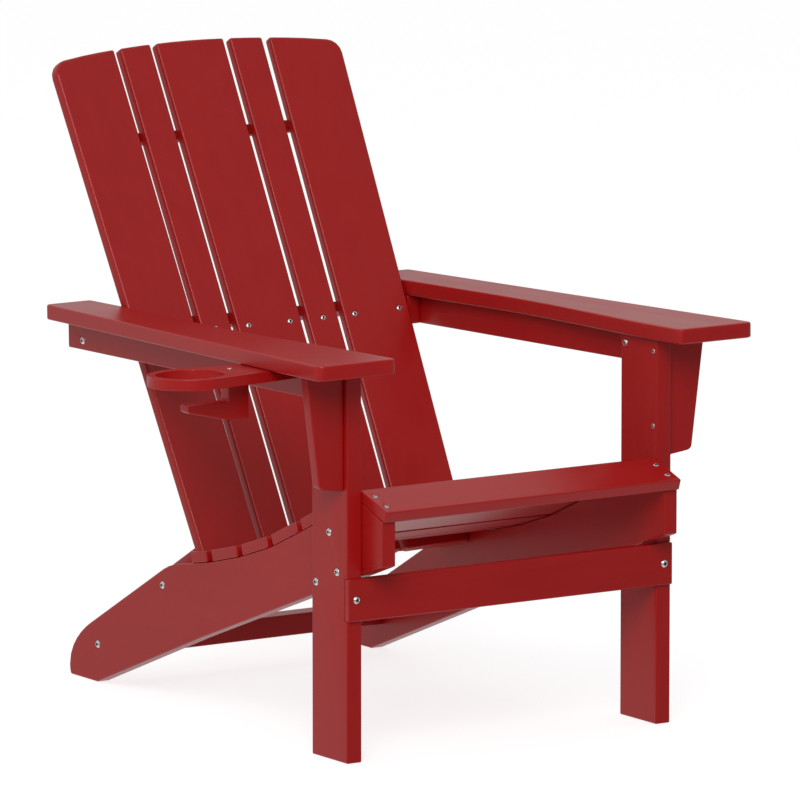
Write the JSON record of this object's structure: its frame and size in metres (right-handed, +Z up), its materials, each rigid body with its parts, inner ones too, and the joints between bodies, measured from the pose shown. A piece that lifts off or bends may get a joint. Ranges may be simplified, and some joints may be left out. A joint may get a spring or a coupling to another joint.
{
  "type": "adirondack chair",
  "caption": "Adirondack chair of plastic planks: slatted curved seat, tall reclined fan back, broad flat arms, and a cup holder ring with a hook under it beside one arm.",
  "frame": {"origin": "bottom centre of the bounding box, on the floor", "axes": "+X to the right as seen from the front, +Y to the rear of the chair, +Z up. The cup holder is on the -X side, and the middle plane of the chair itself is at X = +0.0768 m"},
  "size_m": [0.888, 0.9369, 0.9127],
  "materials": {
    "plank_plastic": "semi-gloss, through-coloured dark red",
    "bolt_steel": "bright stainless, hex sockets"
  },
  "bodies": {
    "root": {"apron_bolt_left": "bolt_steel", "apron_bolt_right": "bolt_steel", "arm_block_left": "plank_plastic", "arm_block_right": "plank_plastic", "arm_bolt_left": "bolt_steel", "arm_bolt_right": "bolt_steel", "arm_bracket_left": "plank_plastic", "arm_bracket_right": "plank_plastic", "arm_cross_board": "plank_plastic", "arm_left": "plank_plastic", "arm_rail_left": "plank_plastic", "arm_rail_right": "plank_plastic", "arm_right": "plank_plastic", "back_screw_1": "bolt_steel", "back_screw_2": "bolt_steel", "back_screw_3": "bolt_steel", "back_screw_4": "bolt_steel", "back_screw_5": "bolt_steel", "back_screw_6": "bolt_steel", "back_screw_7": "bolt_steel", "back_screw_8": "bolt_steel", "back_slat_1": "plank_plastic", "back_slat_2": "plank_plastic", "back_slat_3": "plank_plastic", "back_slat_4": "plank_plastic", "back_slat_5": "plank_plastic", "cup_holder_hook": "plank_plastic", "cup_holder_plate": "plank_plastic", "foot_bolt_left": "bolt_steel", "foot_bolt_right": "bolt_steel", "foot_cross_rail": "plank_plastic", "front_apron": "plank_plastic", "leg_bolt_left_1": "bolt_steel", "leg_bolt_left_2": "bolt_steel", "leg_bolt_left_3": "bolt_steel", "leg_bolt_right_1": "bolt_steel", "leg_bolt_right_2": "bolt_steel", "leg_bolt_right_3": "bolt_steel", "leg_left": "plank_plastic", "leg_right": "plank_plastic", "lower_back_board": "plank_plastic", "rail_bolt_left": "bolt_steel", "rail_bolt_right": "bolt_steel", "seat_screw_left_1": "bolt_steel", "seat_screw_left_2": "bolt_steel", "seat_screw_right_1": "bolt_steel", "seat_screw_right_2": "bolt_steel", "seat_slat_1": "plank_plastic", "seat_slat_2": "plank_plastic", "seat_slat_3": "plank_plastic", "seat_slat_4": "plank_plastic", "seat_slat_5": "plank_plastic", "seat_slat_6": "plank_plastic", "seat_slat_7": "plank_plastic", "stringer_bolt_left": "bolt_steel", "stringer_bolt_right": "bolt_steel", "stringer_left": "plank_plastic", "stringer_right": "plank_plastic", "upper_back_batten": "plank_plastic"}
  },
  "joints": []
}
